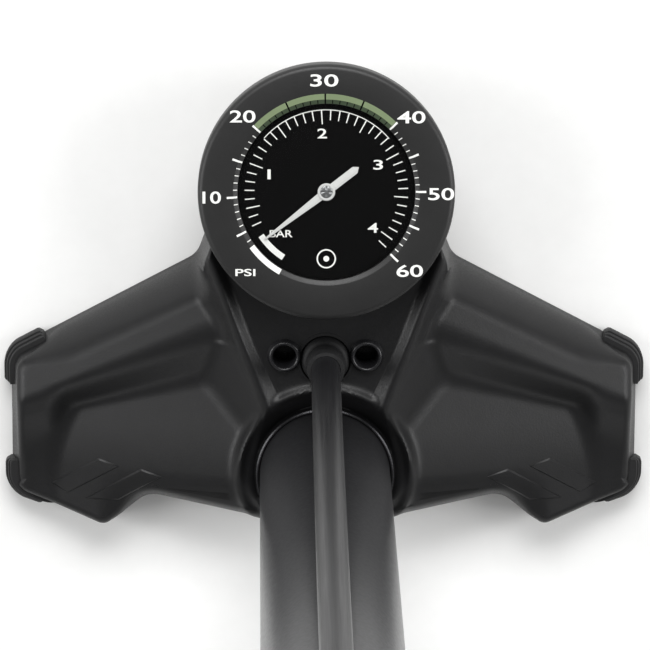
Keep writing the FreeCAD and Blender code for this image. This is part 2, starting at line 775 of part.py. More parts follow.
def make_pump_head():
    """The head lies across under its clip: valve bore at -X, lever at +X."""
    level = size("head_level")
    radius = size("head_rad")
    hole = size("valve_hole")
    y = size("head_y")
    neck_top = size("neck_top")
    pivot, pin_rad, pin_half = 13.5, 1.5, 10.2
    nut_end, face, seat = -23, -14, -5
    gasket_rad, air_rad = 8.5, 2
    body = tube_x(radius, y, level, face, pivot + 3.5)
    body = body.fuse(post(size("neck_rad"), 0, y, level, neck_top))
    cuts = [
        tube_x(gasket_rad, y, level, face - 1, seat),
        tube_x(air_rad + 1, y, level, seat - 1, pivot - 2),
        post(air_rad, 0, y, level, neck_top + 1),
        box(pivot - 4, pivot + 6, y - 5, y + 5, level - 7, level + 7),
        tube_y(pin_rad, pivot, level, y - 12, y + 12),
    ]
    made("head_body", body.cut(cuts).removeSplitter())
    nut = tube_x(radius + 1.5, y, level, nut_end, face)
    made("head_nut", nut.cut(tube_x(hole, y, level, nut_end - 1, face + 1)))
    gasket = tube_x(gasket_rad - 0.1, y, level, face + 0.2, seat - 0.2)
    made("head_gasket", gasket.cut(tube_x(hole - 0.3, y, level, face, seat)))
    made("lever_pin", tube_y(pin_rad, pivot, level, y - pin_half, y + pin_half))
    eye_rad, eye_half = 3.4, 4.6
    paddle_half, paddle_low = 8, 46
    lever = tube_y(eye_rad, pivot, level, y - eye_half, y + eye_half)
    lever = lever.fuse(box(pivot, pivot + 5, y - eye_half, y + eye_half, level - 6, level))
    paddle = box(pivot + 4.1, pivot + 8.5, y - paddle_half, y + paddle_half, 0, paddle_low - 5)
    paddle.translate(Vector(0, 0, level - paddle_low))
    lever = lever.fuse(paddle)
    lever = lever.cut(tube_y(pin_rad + 0.05, pivot, level, y - 12, y + 12))
    made("head_lever", lever.removeSplitter())
    ferrule = post(7.4, 0, y, neck_top, neck_top + 16)
    hose = [piece for piece in pieces if piece.Label == "hose"][0]
    about_barrel = hose.Shape.copy()
    about_barrel.Placement = Placement()
    made("hose_ferrule", ferrule.cut(about_barrel))


def check_pieces():
    """Stop at the first object that failed or came out empty."""
    doc.recompute()
    for thing in doc.Objects:
        if "Invalid" in thing.State or "Error" in thing.State:
            raise RuntimeError("%s failed: %s" % (thing.Label, thing.State))
    for piece in pieces:
        shape = piece.Shape
        if shape.isNull() or not shape.isValid():
            raise RuntimeError("%s has no valid shape" % piece.Label)
        if not shape.Solids:
            raise RuntimeError("%s holds no solid" % piece.Label)


def export_pieces():
    os.makedirs("parts", exist_ok=True)
    whole = FreeCAD.BoundBox()
    for piece in pieces:
        piece.Shape.exportStep(os.path.join("parts", piece.Label + ".step"))
        if piece.Label != "hose":
            whole.add(piece.Shape.BoundBox)
        print("%-20s solids %d volume %.0f" % (piece.Label, len(piece.Shape.Solids), piece.Shape.Volume))
    print(len(pieces), "pieces; box", whole)


make_base_shell()
make_bumpers()
make_floor_pads()
make_manifold()
make_check_valve()
make_barrel()
make_top_cap()
make_piston()
make_handle()
make_gauge()
make_gauge_movement()
make_hose()
make_hose_hook()
make_dock()
make_pump_head()
check_pieces()
export_pieces()
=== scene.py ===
"""The looks of a floor-standing bicycle pump, built round its CAD frame.

Pieces are modelled in millimetres about the barrel's axis, or about the middle
of the gauge's face, and are placed in metres once they are shaped. +Y is the
gauge's side, -Y the rider's side, and height 0 is the floor.
"""

import math

import bmesh
import bpy
import numpy as np
from bpy.props import FloatProperty, FloatVectorProperty, PointerProperty, StringProperty
from mathutils import Matrix, Vector


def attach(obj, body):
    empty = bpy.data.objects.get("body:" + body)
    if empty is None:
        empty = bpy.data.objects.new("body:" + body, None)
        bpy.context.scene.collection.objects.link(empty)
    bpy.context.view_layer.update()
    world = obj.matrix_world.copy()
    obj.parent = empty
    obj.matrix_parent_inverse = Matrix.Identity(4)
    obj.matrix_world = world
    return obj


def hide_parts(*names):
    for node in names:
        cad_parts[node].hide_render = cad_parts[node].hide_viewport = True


bl_info = {
    "name": "Floor Pump",
    "version": (1, 0, 0),
    "blender": (4, 5, 0),
    "location": "View3D > Sidebar > Floor Pump",
    "description": "Builds the looks of a bicycle floor pump round its CAD frame",
    "category": "Object",
}

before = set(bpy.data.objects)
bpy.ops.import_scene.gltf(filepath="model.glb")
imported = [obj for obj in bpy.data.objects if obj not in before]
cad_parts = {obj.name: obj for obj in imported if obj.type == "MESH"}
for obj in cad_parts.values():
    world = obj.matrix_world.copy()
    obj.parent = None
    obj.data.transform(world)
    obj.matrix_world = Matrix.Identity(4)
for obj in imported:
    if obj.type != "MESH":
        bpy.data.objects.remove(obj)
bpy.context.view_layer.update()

MM = 0.001
BARREL_Y = -46.5
GAUGE_Y = 116.0
GAUGE_LEVEL = 55.0
GAUGE_TILT = 7.5
TO_METRES = Matrix.Scale(MM, 4)
BY_BARREL = TO_METRES @ Matrix.Translation((0, BARREL_Y, 0))
BY_GAUGE = (
    TO_METRES
    @ Matrix.Translation((0, BARREL_Y + GAUGE_Y, GAUGE_LEVEL))
    @ Matrix.Rotation(-math.radians(GAUGE_TILT), 4, "X")
)
HOUSING_RADIUS = 47.0
HOUSING_DEPTH = 18.0

# The hose's route, up the gauge side, out round the cap and down the rider's side.
HOSE_ROUTE = [
    (0, 46.8, 39),
    (-1.5, 46.8, 400),
    (0, 46.8, 485),
    (14, 46.8, 527),
    (33.5, 46.8, 553),
    (48.7, 32.2, 573),
    (57.4, 7, 584.5),
    (57.4, -22.2, 584.5),
    (48.7, -47.4, 573),
    (33.5, -62, 553),
    (14, -62, 527),
    (1, -62, 486),
    (0, -62, 444),
    (0, -62, 404),
]

# Corners of the base's outline at the right, from the rider's side round to
# the gauge: across, along and the corner's rounding.
OUTLINE_RIGHT = [
    (67.6, -15.4, 9),
    (85.2, -27.2, 5),
    (121.3, -13.8, 9),
    (121.3, 40.8, 8),
    (49.2, 79.1, 8),
    (42.0, 98.5, 12),
    (42.0, 152.0, 41.5),
]
OUTLINE_MIDDLE = (0.0, -27.9, 60)

FEET = [(-106, -9), (106, -9), (-106, 30), (106, 30), (0, 138)]

PORT_Y = 46.8
SOCKET_X, SOCKET_Y = 15.6, 48.8
PANEL_TOP = 41.0
SOCKET_RADIUS = 25.05
HOLE_RADIUS = 27.0

# A wing's crest: its outer end, then how far it moves along and up per
# millimetre towards the middle. Behind it the back slopes down.
CREST_X, CREST_Y, CREST_Z = 107, 28.4, 24
CREST_ALONG, CREST_UP = 0.434, 0.189
BACK_SLOPE = 0.24
# The foot of the pocket's wall, and the pocket's floor: its height at the
# inner end, its fall outwards, and its dips towards the wall and the rider.
FOOT_X, FOOT_Y, FOOT_ALONG = 98, 21, 0.287
FLOOR_X, FLOOR_Z, FLOOR_FALL, FLOOR_TOP = 34, 35, 0.29, 36.0
DIP_FROM, DIP_SLOPE, DIP_SOFT = 7, 0.2, 10.0
RIDER_FROM, RIDER_SLOPE, RIDER_SOFT = -7, 0.5, 6.0
# The low tip outside the pocket, and the pocket's wall on that side.
TIP_SLOPE, TIP_LOW, TIP_X = 0.4, 12.5, 105
# Where the wings give way to the middle.
INNER_X, INNER_Z, INNER_SLOPE = 37, 36, 2.0

# A rib's line, its top, its outer slope, and the valley inside it.
RIB_X, RIB_Y, RIB_ALONG = 24, 31.6, 0.362
RIB_TOP, RIB_RISE, RIB_SLOPE = 44.5, 3.5, 1.27
VALLEY_X, VALLEY_Y, VALLEY_ALONG, VALLEY_GAP = 15.7, 29, 0.48, 4.5


def shape():
    return bpy.context.scene.floor_pump_shape


def colours():
    return bpy.context.scene.floor_pump_colours


# ---------------------------------------------------------------- settings


class FloorPumpShape(bpy.types.PropertyGroup):
    """Sizes that a user would change, in millimetres."""

    base_low: FloatProperty(
        name="Base Edge", description="Lower edge of the base's walls", default=1.5
    )
    wall_draft: FloatProperty(
        name="Wall Draft", description="How far the base's walls lean in", default=2.6
    )
    wing_fillet: FloatProperty(
        name="Wing Fillet", description="Rounding of the wings' edges", default=3.4
    )
    back_roll: FloatProperty(
        name="Back Roll", description="Depth of the roll along the wings' backs", default=11.0
    )
    rear_roll: FloatProperty(
        name="Rear Roll", description="Depth of the roll behind the barrel", default=7.0
    )
    mesh_step: FloatProperty(
        name="Mesh Step", description="Spacing of points round the base", default=1.15
    )
    marking_lift: FloatProperty(
        name="Marking Lift", description="How far the gauge's markings stand up", default=0.05
    )
    hose_radius: FloatProperty(
        name="Hose Radius", description="Hose's outer radius", default=5.5
    )


class FloorPumpColours(bpy.types.PropertyGroup):
    """Colours as sRGB hex values."""

    base: StringProperty(name="Base", description="Filled nylon", default="#131314")
    bezel: StringProperty(name="Bezel", description="Satin ABS", default="#171717")
    rubber: StringProperty(name="Rubber", description="Moulded rubber", default="#131314")
    hose: StringProperty(name="Hose", description="Extruded rubber", default="#161618")
    barrel: StringProperty(name="Barrel", description="Painted steel", default="#2A2A2C")
    dial: StringProperty(name="Dial", description="Printed dial", default="#020202")
    markings: StringProperty(name="Markings", description="White ink", default="#E9EAE6")
    range_mark: StringProperty(name="Range", description="Green ink", default="#6E7D5C")
    pointer: StringProperty(name="Pointer", description="Pointer enamel", default="#C9CAC8")


class FloorPumpStage(bpy.types.PropertyGroup):
    """The camera and the lights."""

    camera_place: FloatVectorProperty(
        name="Camera",
        description="Where the camera stands",
        default=(-0.0268, 0.5360, 1.9467),
        subtype="TRANSLATION",
        unit="LENGTH",
    )
    lens: FloatProperty(name="Lens", description="Focal length in millimetres", default=288.0)
    back_power: FloatProperty(
        name="Back Light", description="Light beyond the gauge", default=78.0, unit="POWER"
    )
    side_power: FloatProperty(
        name="Side Lights", description="Lights at the two sides", default=42.0, unit="POWER"
    )
    rider_power: FloatProperty(
        name="Rider's Light", description="Light on the rider's side", default=8.0, unit="POWER"
    )
    surround: FloatProperty(
        name="Surround", description="Brightness of the room", default=0.26
    )


# ---------------------------------------------------------------- materials


def linear(hex_colour):
    """An sRGB hex value as a linear colour."""
    parts = [int(hex_colour[i : i + 2], 16) / 255 for i in (1, 3, 5)]
    curved = [c / 12.92 if c <= 0.04045 else ((c + 0.055) / 1.055) ** 2.4 for c in parts]
    return (*curved, 1.0)


def add(tree, kind, values=None, links=None, **settings):
    """Adds a node with its settings, socket values and links."""
    made = tree.nodes.new(kind)
    for name, value in settings.items():
        setattr(made, name, value)
    for socket, value in (values or {}).items():
        made.inputs[socket].default_value = value
    for socket, source in (links or {}).items():
        tree.links.new(source, made.inputs[socket])
    return made


def per_metre(millimetres):
    """A texture scale whose pattern repeats every so many millimetres."""
    return 1.0 / (millimetres * MM)


def finish(
    name, colour, rough, metallic=0.0, grain=0.6, relief=0.02, mottle=9.0, shade=0.12,
    stretch=(1, 1, 1), **shader
):
    """A surface with a fine moulded or drawn grain over a broad, faint mottle.

    colour is hex, rough is the lowest and highest roughness, grain and mottle
    are pattern sizes in millimetres, relief is the grain's height in
    millimetres, shade is how much the mottle darkens the colour, and stretch
    draws the grain out along an axis.
    """
    made = bpy.data.materials.get(name)
    if made:
        return made
    made = bpy.data.materials.new(name)
    made.use_nodes = True
    tree = made.node_tree
    tree.nodes.clear()
    place = add(tree, "ShaderNodeTexCoord").outputs["Object"]
    drawn = add(
        tree, "ShaderNodeMapping", {"Scale": stretch}, {"Vector": place}
    ).outputs["Vector"]
    broad = add(
        tree,
        "ShaderNodeTexNoise",
        {"Scale": per_metre(mottle), "Detail": 3.0, "Roughness": 0.6},
        {"Vector": place},
    ).outputs["Fac"]
    fine = add(
        tree,
        "ShaderNodeTexNoise",
        {"Scale": per_metre(grain), "Detail": 2.0, "Roughness": 0.55},
        {"Vector": drawn},
    ).outputs["Fac"]
    base = linear(colour)
    dark = tuple(c * (1 - shade) for c in base[:3]) + (1.0,)
    light = tuple(min(1.0, c * (1 + shade)) for c in base[:3]) + (1.0,)
    ramp = add(tree, "ShaderNodeValToRGB", None, {"Fac": broad})
    ramp.color_ramp.elements[0].position = 0.3
    ramp.color_ramp.elements[0].color = dark
    ramp.color_ramp.elements[1].position = 0.7
    ramp.color_ramp.elements[1].color = light
    spread = add(
        tree,
        "ShaderNodeMapRange",
        {"From Min": 0.3, "From Max": 0.7, "To Min": rough[0], "To Max": rough[1]},
        {"Value": fine},
    ).outputs["Result"]
    bump = add(
        tree, "ShaderNodeBump", {"Strength": 1.0, "Distance": relief * MM}, {"Height": fine}
    ).outputs["Normal"]
    surface = add(
        tree,
        "ShaderNodeBsdfPrincipled",
        {"Metallic": metallic, **shader},
        {"Base Color": ramp.outputs["Color"], "Roughness": spread, "Normal": bump},
    ).outputs["BSDF"]
    add(tree, "ShaderNodeOutputMaterial", None, {"Surface": surface})
    return made


def filled_nylon():
    """Glass-filled nylon, spark-eroded mould: a dark, even satin with fine grain."""
    return finish(
        "moulded_filled_nylon", colours().base, (0.36, 0.5), grain=0.7, relief=0.035,
        **{"Specular IOR Level": 0.38}
    )


def satin_abs():
    """ABS from a finely etched mould: a flatter, paler satin than the base."""
    return finish("satin_moulded_abs", colours().bezel, (0.42, 0.5), grain=0.5, relief=0.012)


def moulded_rubber():
    """Carbon-filled rubber: near black, soft sheen, slightly uneven."""
    return finish("moulded_rubber", colours().rubber, (0.5, 0.65), grain=0.8, relief=0.03)


def extruded_rubber():
    """Extruded hose cover: smooth, with faint lines drawn along it."""
    return finish(
        "extruded_hose_rubber", colours().hose, (0.34, 0.44), grain=0.9, relief=0.01,
        stretch=(1, 1, 0.02)
    )


def painted_steel():
    """Powder-painted tube: graphite satin with a trace of orange peel."""
    return finish(
        "satin_painted_steel", colours().barrel, (0.3, 0.38), grain=1.6, relief=0.012,
        mottle=30.0, shade=0.06, **{"Coat Weight": 0.15, "Coat Roughness": 0.3}
    )


def anodised_ring():
    """Black anodised aluminium, turned: glossy metal with rings too fine to see."""
    return finish(
        "black_anodised_aluminium", "#3B3B3D", (0.2, 0.3), metallic=0.85, grain=0.4,
        relief=0.004, stretch=(0.2, 0.2, 6)
    )


def chrome_plate():
    """Hard chrome on a ground rod: a clear mirror with the faintest grinding."""
    return finish(
        "hard_chrome_plate", "#C9CBCE", (0.06, 0.14), metallic=1.0, grain=0.5,
        relief=0.002, shade=0.03, stretch=(1, 1, 0.05)
    )


def zinc_steel():
    """Zinc-plated steel: a pale grey metal with a cloudy passivated tint."""
    return finish("zinc_plated_steel", "#A3A5A6", (0.28, 0.42), metallic=1.0, relief=0.008)


def turned_brass():
    """Free-cutting brass, turned: warm metal with fine feed marks."""
    return finish(
        "turned_brass", "#B08D4A", (0.25, 0.38), metallic=1.0, grain=0.4, stretch=(0.3, 0.3, 5)
    )


def cast_alloy():
    """Die-cast zinc alloy, tumbled: dull grey with a slightly rough skin."""
    return finish("die_cast_alloy", "#8E9092", (0.4, 0.55), metallic=1.0, relief=0.03)


def seal_rubber():
    """Nitrile seal rubber: matt black."""
    return finish("nitrile_rubber", "#131314", (0.55, 0.7), grain=0.5, relief=0.01)


def grip_rubber():
    """Soft overmoulded grip: matt charcoal with an even leathery grain."""
    return finish("soft_grip_rubber", "#242425", (0.6, 0.75), grain=1.1, relief=0.07)


def gloss_nylon():
    """Unfilled nylon from a polished mould: black, with a soft shine."""
    return finish("smooth_moulded_nylon", "#1D1D1F", (0.25, 0.34), grain=0.8, relief=0.006)


def lever_nylon():
    """Coloured nylon lever: a mid grey satin that stands out from the head."""
    return finish("grey_moulded_nylon", "#5C5E60", (0.35, 0.45), grain=0.6, relief=0.015)


def dial_ink():
    """Screen-printed dial: deep matt black that hides under the lens."""
    return finish(
        "printed_dial_black", colours().dial, (0.5, 0.6), grain=0.3, relief=0.002,
        **{"Specular IOR Level": 0.08}
    )


def white_ink():
    """Pad-printed white ink: opaque, a little uneven at the surface."""
    return finish(
        "pad_printed_white_ink", colours().markings, (0.45, 0.55), grain=0.3,
        relief=0.004, shade=0.02
    )


def green_ink():
    """Pad-printed green ink for the working range: dull sage."""
    return finish(
        "pad_printed_green_ink", colours().range_mark, (0.45, 0.55), grain=0.3,
        relief=0.004, shade=0.04
    )


def green_ink_painted_shade():
    """The same green ink, given a darker colour where it runs down the bezel's slope: painted
    shade.
    """
    return finish("green_ink_with_painted_shade", "#3C4A35", (0.45, 0.55), grain=0.3, relief=0.004)


def pointer_enamel():
    """Stoved pale enamel on a stamped pointer."""
    return finish(
        "stoved_pale_enamel", colours().pointer, (0.35, 0.42), grain=0.5, relief=0.004, shade=0.03
    )


def clear_lens():
    """Polycarbonate lens: almost invisible, it only adds a faint gloss."""
    return finish(
        "clear_polycarbonate", "#101112", (0.04, 0.07), grain=3.0, relief=0.0005,
        **{"Alpha": 0.03, "IOR": 1.58}
    )


# ---------------------------------------------------------------- modelling


def rebuilt(bm, angle=None, radius=0.0, segments=2):
    """Merges doubles, turns faces outwards and eases edges sharper than angle."""
    bmesh.ops.remove_doubles(bm, verts=bm.verts, dist=1e-4)
    bmesh.ops.dissolve_degenerate(bm, edges=bm.edges, dist=1e-5)
    bmesh.ops.recalc_face_normals(bm, faces=bm.faces)
    if angle is not None:
        sharp = [
            e
            for e in bm.edges
            if len(e.link_faces) == 2 and e.calc_face_angle(0.0) > math.radians(angle)
        ]
        bmesh.ops.bevel(
            bm, geom=sharp, offset=radius, offset_type="OFFSET", segments=segments,
            profile=0.5, affect="EDGES", material=-1, clamp_overlap=True
        )
    return bm


def placed(name, data):
    """A new object in the scene's collection."""
    made = bpy.data.objects.new(name, data)
    bpy.context.scene.collection.objects.link(made)
    return made


def piece(name, bm, material, body="base", replaces=(), place=BY_BARREL, crease=35):
    """Turns a bmesh into a placed piece that rides on a body."""
    bm.transform(place)
    mesh = bpy.data.meshes.new(name)
    bm.to_mesh(mesh)
    bm.free()
    mesh.materials.append(material)
    mesh.shade_smooth()
    mesh.set_sharp_from_angle(angle=math.radians(crease))
    made = placed(name, mesh)
    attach(made, body)
    if replaces:
        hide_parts(*replaces)
    return made


def nylon_piece(name, bm, node="base_shell", crease=35):
    """A piece of dark nylon moulding that stands in for one node."""
    return piece(name, bm, filled_nylon(), "base", [node], crease=crease)


def gauge_piece(name, bm, material, slot, node=None, body="base", crease=35):
    """A piece about the middle of the gauge's face."""
    return piece(name, bm, material, body, [node] if node else (), BY_GAUGE, crease)


def turned(profile, steps=96, place=Matrix(), bm=None):
    """Spins a closed (radius, height) profile about the Z axis."""
    bm = bm or bmesh.new()
    ring = [bm.verts.new((r, 0, z)) for r, z in profile]
    edges = [bm.edges.new(pair) for pair in zip(ring, ring[1:] + ring[:1])]
    before = set(bm.verts) - set(ring)
    bmesh.ops.spin(
        bm, geom=ring + edges, cent=(0, 0, 0), axis=(0, 0, 1), angle=2 * math.pi,
        steps=steps, use_merge=True
    )
    fresh = [v for v in bm.verts if v not in before]
    bmesh.ops.transform(bm, matrix=place, verts=fresh)
    return bm


def block(bm, low, high, place=Matrix()):
    """Adds a box between two corners."""
    size = [b - a for a, b in zip(low, high)]
    middle = [(a + b) / 2 for a, b in zip(low, high)]
    matrix = place @ Matrix.Translation(middle) @ Matrix.Diagonal((*size, 1.0))
    return bmesh.ops.create_cube(bm, size=1.0, matrix=matrix)["verts"]


def swept(bm, stations):
    """Joins closed rings of points, one to the next, and caps both ends."""
    first = [bm.verts.new(spot) for spot in stations[0]]
    ring = [bm.edges.new(pair) for pair in zip(first, first[1:] + first[:1])]
    bm.faces.new(first)
    last = first
    for spots in stations[1:]:
        grown = bmesh.ops.extrude_edge_only(bm, edges=ring)["geom"]
        fresh = {v for v in grown if isinstance(v, bmesh.types.BMVert)}
        ring = [e for e in grown if isinstance(e, bmesh.types.BMEdge) and set(e.verts) <= fresh]
        following = []
        for old in last:
            new = next(e.other_vert(old) for e in old.link_edges if e.other_vert(old) in fresh)
            following.append(new)
        for vert, spot in zip(following, spots):
            vert.co = spot
        last = following
    bm.faces.new(last)
    return bm


# ---------------------------------------------------------------- the base


def soft_min(a, b, width):
    """The lower of two heights, blended where they are within a width."""
    mix = np.clip(0.5 + 0.5 * (b - a) / width, 0, 1)
    return b * (1 - mix) + a * mix - width * mix * (1 - mix)


def soft_max(a, b, width):
    """The higher of two heights, blended where they are within a width."""
    return -soft_min(-a, -b, width)


def smooth_step(low, high, value):
    """0 to 1 between two values, level at both ends."""
    t = np.clip((value - low) / (high - low), 0, 1)
    return t * t * (3 - 2 * t)


def wing_height(x, y):
    """The wings: a raised back, a foot pocket in front of it, a low tip."""
    crest_y = CREST_Y + (CREST_X - x) * CREST_ALONG
    crest_z = CREST_Z + (CREST_X - x) * CREST_UP
    back = crest_z - BACK_SLOPE * (y - crest_y)
    foot_y = FOOT_Y + (FOOT_X - x) * FOOT_ALONG
    level = FLOOR_Z - FLOOR_FALL * (x - FLOOR_X)
    dip = DIP_SLOPE * soft_max(0.0, y - DIP_FROM, DIP_SOFT)
    behind = RIDER_SLOPE * soft_max(0.0, RIDER_FROM - y, RIDER_SOFT) * smooth_step(88, 66, x)
    floor = soft_min(level - dip, FLOOR_TOP, 1.5) - behind
    foot_z = level - DIP_SLOPE * soft_max(0.0, foot_y - DIP_FROM, DIP_SOFT)
    wall = foot_z + (y - foot_y) * (crest_z - foot_z) / (crest_y - foot_y)
    tip = soft_max(crest_z - TIP_SLOPE * (crest_y - y), TIP_LOW, 6.0)
    side = soft_min(tip, tip - (TIP_X - x), 4.0)
    pocket = soft_max(soft_max(floor, wall, 3.5), side, 5.0)
    wing = soft_min(pocket, back, 5.0)
    return soft_min(wing, INNER_Z + INNER_SLOPE * soft_max(0.0, x - INNER_X, 3.0), 1.0)


def middle_height(x, y):
    """The ribs with their outer facets, and the panel between them."""
    rib_x = RIB_X + (y - RIB_Y) * RIB_ALONG
    valley_x = np.minimum(VALLEY_X + (y - VALLEY_Y) * VALLEY_ALONG, rib_x - VALLEY_GAP)
    inner = RIB_TOP - RIB_RISE / (rib_x - valley_x) * (rib_x - x)
    facet = 25.5 - 0.85 * (x - 45.7) + 0.27 * (y - 33) - 0.9 * np.maximum(0, y - 52)
    outer = soft_max(RIB_TOP - RIB_SLOPE * (x - rib_x), facet, 1.2)
    panel = PANEL_TOP - 3 * np.maximum(0, x - valley_x)
    return soft_min(inner, outer, 3.5), panel


def top_height(x, y):
    """The height of the base's upper surface, about the barrel's axis."""
    x = np.abs(x)
    rib, panel = middle_height(x, y)
    top = soft_max(wing_height(x, y), rib, 3.0)
    top = soft_max(top, panel, 0.8)
    reach = np.hypot(x, y)
    turn = np.degrees(np.arctan2(y, np.maximum(x, 1e-6)))
    front = smooth_step(30, 60, turn)
    rim_radius = 33.0 + 2.2 * front
    rim_top = 32.5 + 6.0 * smooth_step(-50, 20, turn) + 5.0 * smooth_step(25, 60, turn)
    rim_width = 2.0
    bead = np.maximum(0, rim_top - top) * np.exp(-(((reach - rim_radius) / rim_width) ** 2))
    funnel_foot, ledge, ledge_top = 27.2, 28.5, 33.8
    funnel = 34 + (reach - funnel_foot) * (1.15 + 0.1 * front)
    top = soft_min(top + bead, funnel, 2.5)
    top = np.where(reach < ledge, np.maximum(top, ledge_top), top)
    seat = GAUGE_LEVEL - HOUSING_DEPTH - (y - GAUGE_Y) * math.tan(math.radians(GAUGE_TILT))
    under = np.hypot(x, y - GAUGE_Y) < HOUSING_RADIUS + 0.4
    return np.where(under, np.minimum(top, seat - 0.05), top)


def outline_loop(step):
    """The base's outline as a bmesh face whose corners are rounded."""
    left = [(-x, y, r) for x, y, r in reversed(OUTLINE_RIGHT)]
    corners = [OUTLINE_MIDDLE] + OUTLINE_RIGHT + left
    bm = bmesh.new()
    verts = [bm.verts.new((x, y, 0)) for x, y, r in corners]
    bm.faces.new(verts)
    for vert, (x, y, rounding) in zip(verts, corners):
        sides = [(e.other_vert(vert).co - vert.co).normalized() for e in vert.link_edges]
        half = sides[0].angle(sides[1]) / 2
        bmesh.ops.bevel(
            bm, geom=[vert], offset=rounding / math.tan(half), offset_type="OFFSET",
            segments=max(6, int(rounding * (math.pi - 2 * half) / step)), profile=0.5,
            affect="VERTICES", material=-1, clamp_overlap=False
        )
    bmesh.ops.remove_doubles(bm, verts=bm.verts, dist=0.02)
    for edge in list(bm.edges):
        cuts = round(edge.calc_length() / step) - 1
        if cuts > 0:
            bmesh.ops.subdivide_edges(bm, edges=[edge], cuts=cuts)
    return bm


def ordered(face):
    """A face's corners as an array, going round to the left."""
    spots = np.array([v.co[:2] for v in face.verts])
    ahead = np.roll(spots, -1, 0)
    area = np.sum(spots[:, 0] * ahead[:, 1] - spots[:, 1] * ahead[:, 0])
    return spots if area > 0 else spots[::-1]


def outline_spots(step):
    """Points along the base's rounded outline, a step apart."""
    loop = outline_loop(step)
    loop.faces.ensure_lookup_table()
    spots = ordered(loop.faces[0])
    loop.free()
    return spots


def inward(spots):
    """Unit normals that point into a loop which goes round to the left."""
    along = np.roll(spots, -1, 0) - np.roll(spots, 1, 0)
    along /= np.linalg.norm(along, axis=1)[:, None]
    return np.stack([-along[:, 1], along[:, 0]], 1)


def base_rings(spots):
    """The rings of points from the tray's roof out, up the wall and in to the barrel."""
    low = shape().base_low
    count = len(spots)
    into = inward(spots)
    centre_y = 6.0
    angle = np.unwrap(np.arctan2(spots[:, 1] - centre_y, spots[:, 0]))
    hole = HOLE_RADIUS * np.stack([np.cos(angle), np.sin(angle)], 1)
    room = np.linalg.norm(spots - hole, axis=1)
    across = np.abs(spots[:, 0])
    rear = spots[:, 1] < 0
    middle = smooth_step(80, 68, across) * rear
    nose = smooth_step(78, 88, spots[:, 1])
    roll = smooth_step(0.35, 0.8, -into[:, 1]) * (spots[:, 1] > 30) * (1 - nose)
    roll = roll * smooth_step(118, 100, across)
    nose_fillet = 1.5
    fillet = shape().wing_fillet * (1 - nose) + nose_fillet * nose
    fillet = fillet + (shape().back_roll - fillet) * roll
    fillet = fillet + (shape().rear_roll - fillet) * middle
    draft = shape().wall_draft * (1 - 0.7 * middle) * (1 - 0.7 * nose) * (1 - 0.9 * roll)
    draft = draft * (1 - 0.6 * rear * (into[:, 1] > 0.5))
    reach = np.minimum(1.0, 0.8 * room / (draft + fillet))[:, None]

    def at(depth):
        return spots + into * (depth * np.ones(count))[:, None] * reach

    rings = []
    tray_roof, wall_thick, lip = 11.0, 3.0, 0.4
    lower = (wall_thick, tray_roof), (wall_thick, low + lip), (wall_thick - lip, low), (lip, low)
    for depth, z in lower:
        rings.append((at(depth), np.full(count, z)))
    shoulder = at(draft + fillet)
    edge_z = top_height(shoulder[:, 0], shoulder[:, 1]) - fillet
    back_edge, rear_edge = 4.5, 5.0
    edge_z = edge_z + (back_edge - edge_z) * roll
    edge_z = edge_z + (rear_edge - edge_z) * middle
    for part in np.linspace(0, 1, 6):
        rings.append((at(draft * part), low + 0.5 + (edge_z - low - 0.5) * part))
    for part in np.linspace(0, 1, 15)[1:]:
        turn = part * math.pi / 2
        place = at(draft + fillet * (1 - math.cos(turn)))
        top = top_height(place[:, 0], place[:, 1])
        rings.append((place, edge_z + (top - edge_z) * math.sin(turn)))
    inside = rings[-1][0]
    # The way in from a notch's outer corner would leave the outline, so those
    # points are held inside the shoulder on the rider's side.
    edge = inside[(spots[:, 1] < 0) & (into[:, 1] > 0.3)]
    edge = edge[np.argsort(edge[:, 0])]
    notch_x, notch_half, notch_y = 60, 34, 10
    steps = 92
    for step in range(1, steps + 1):
        part = 1 - (1 - step / steps) ** 1.4
        place = inside + (hole - inside) * part
        shore = np.interp(place[:, 0], edge[:, 0], edge[:, 1]) + 0.03 * step
        beside = np.abs(np.abs(place[:, 0]) - notch_x) < notch_half
        notched = beside & (place[:, 1] < notch_y)
        place[:, 1] = np.where(notched, np.maximum(place[:, 1], shore), place[:, 1])
        rings.append((place, top_height(place[:, 0], place[:, 1])))
    for radius, z in ((25.2, 34.0), (SOCKET_RADIUS, 33.6), (SOCKET_RADIUS, 22.0)):
        rings.append((hole * radius / HOLE_RADIUS, np.full(count, z)))
    return rings


def sink_holes(rings):
    """Lowers the points under the hose port and the two adapter sockets."""
    sunk = []
    holes = (
        (0.0, PORT_Y, 10.4, 33.0),
        (-SOCKET_X, SOCKET_Y, 5.6, 21.0),
        (SOCKET_X, SOCKET_Y, 5.6, 21.0),
    )
    near = 0.75
    for place, z in rings:
        place, z = place.copy(), z.copy()
        for x, y, radius, floor in holes:
            away = place - (x, y)
            reach = np.hypot(away[:, 0], away[:, 1])
            upper = z > 30
            edge = upper & (np.abs(reach - radius) < near)
            place[edge] = (x, y) + away[edge] * (radius / reach[edge])[:, None]
            z[upper & (reach <= radius - near)] = floor
        sunk.append((place, z))
    return sunk


def build_base_skin():
    """The base's moulding as one closed skin."""
    rings = sink_holes(base_rings(outline_spots(shape().mesh_step)))
    stations = [np.column_stack([place, z]).tolist() for place, z in rings]
    bm = swept(bmesh.new(), stations)
    bmesh.ops.recalc_face_normals(bm, faces=bm.faces)
    return nylon_piece("base_skin", bm, crease=50)


